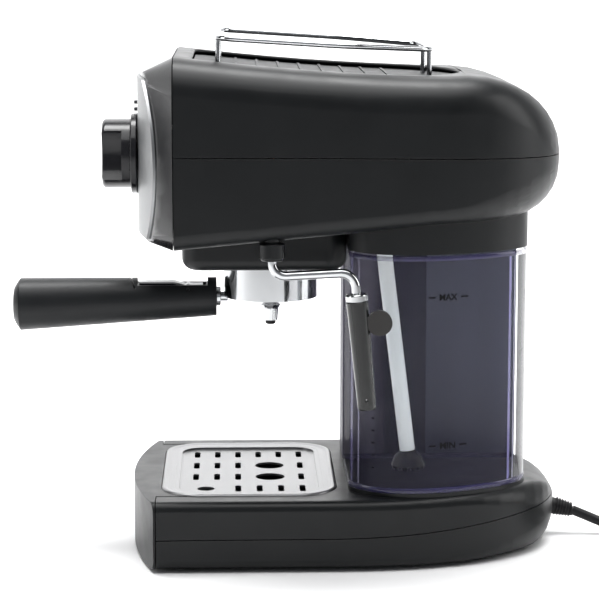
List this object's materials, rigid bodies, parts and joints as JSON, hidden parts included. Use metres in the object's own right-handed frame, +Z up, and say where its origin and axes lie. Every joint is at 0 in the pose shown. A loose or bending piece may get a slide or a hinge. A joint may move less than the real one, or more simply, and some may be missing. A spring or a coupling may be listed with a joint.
{
  "type": "espresso machine",
  "caption": "Pump espresso machine with a portafilter, frothing wand, lift-off drip grille, sliding water tank and cup rail.",
  "frame": {"origin": "on the worktop under the centre of the machine, without its cord", "axes": "+Z up, -Y toward the user at the front, +X toward the user's right hand"},
  "size_m": [0.184, 0.4571, 0.3171],
  "materials": {
    "black_plastic": "satin",
    "gloss_black": "gloss",
    "dark_grey": "satin",
    "bright_metal": "polished",
    "satin_metal": "brushed",
    "aluminium": "satin",
    "brass": "satin",
    "rubber": "matte",
    "red_rubber": "matte",
    "smoked_clear": "clear",
    "hose_silicone": "translucent",
    "cord_rubber": "satin",
    "lamp_lens": "gloss",
    "copper": "satin"
  },
  "bodies": {
    "machine": {"base_pan": "black_plastic", "base_cover": "black_plastic", "rubber_feet": "rubber", "case_screws": "satin_metal", "column_shell": "black_plastic", "lower_casing": "black_plastic", "upper_casing": "black_plastic", "cup_deck": "dark_grey", "cup_rail": "bright_metal", "front_bezel": "gloss_black", "front_plate": "bright_metal", "indicator_lamps": "lamp_lens", "knob_collar": "black_plastic", "selector_switch": "dark_grey", "boiler_lower": "aluminium", "boiler_upper": "aluminium", "boiler_gasket": "red_rubber", "boiler_screws": "satin_metal", "group_head": "aluminium", "group_gasket": "rubber", "shower_screen": "satin_metal", "shower_screw": "satin_metal", "group_cover": "black_plastic", "thermostats": "aluminium", "steam_valve": "brass", "steam_pipe": "copper", "wand_socket": "black_plastic", "pump_body": "dark_grey", "pump_mounts": "rubber", "pressure_hose": "hose_silicone", "safety_valve": "brass", "cord_gland": "cord_rubber", "power_cord": "cord_rubber", "plug_lead": "cord_rubber", "cord_coil": "cord_rubber", "cord_tie": "cord_rubber", "plug_body": "cord_rubber", "plug_pins": "brass"},
    "drip_drawer": {"drip_tray": "black_plastic", "drip_tray_front": "black_plastic"},
    "grille": {"drip_grille": "satin_metal"},
    "knob": {"selector_knob": "black_plastic", "selector_shaft": "dark_grey"},
    "wand": {"steam_wand": "bright_metal", "wand_collar": "bright_metal"},
    "sleeve": {"frother_sleeve": "black_plastic", "frother_tab": "black_plastic"},
    "tank": {"water_tank": "smoked_clear", "intake_hose": "hose_silicone", "intake_strainer": "black_plastic"},
    "portafilter": {"portafilter_bowl": "bright_metal", "portafilter_spout": "bright_metal", "spout_tip": "black_plastic", "filter_basket": "satin_metal", "portafilter_handle": "black_plastic", "handle_cap": "black_plastic", "handle_stud": "bright_metal", "retainer_pin": "satin_metal"},
    "retainer": {"basket_retainer": "satin_metal"}
  },
  "joints": [
    {"name": "drawer_slide", "type": "slide", "parent": "machine", "child": "drip_drawer", "axis": [0, -1, 0], "range_m": [0, 0.11]},
    {"name": "grille_lift", "type": "slide", "parent": "drip_drawer", "child": "grille", "axis": [0, 0, 1], "range_m": [0, 0.03]},
    {"name": "knob_turn", "type": "hinge", "parent": "machine", "child": "knob", "pos_m": [0, -0.1, 0.2423], "axis": [0, -1, 0], "range_deg": [-60, 60]},
    {"name": "wand_swing", "type": "hinge", "parent": "machine", "child": "wand", "pos_m": [0.0825, -0.0093, 0.19], "axis": [0, 0, 1], "range_deg": [-150, 0]},
    {"name": "sleeve_slide", "type": "slide", "parent": "wand", "child": "sleeve", "axis": [0, 0.0952, -0.9955], "range_m": [0, 0.02]},
    {"name": "portafilter_turn", "type": "hinge", "parent": "machine", "child": "portafilter", "pos_m": [0, -0.009, 0.18], "axis": [0, 0, 1], "range_deg": [-45, 0]},
    {"name": "retainer_flip", "type": "hinge", "parent": "portafilter", "child": "retainer", "pos_m": [0, -0.06, 0.159], "axis": [1, 0, 0], "range_deg": [-30, 0]},
    {"name": "tank_slide", "type": "slide", "parent": "machine", "child": "tank", "axis": [0, 1, 0], "range_m": [0, 0.098]}
  ]
}
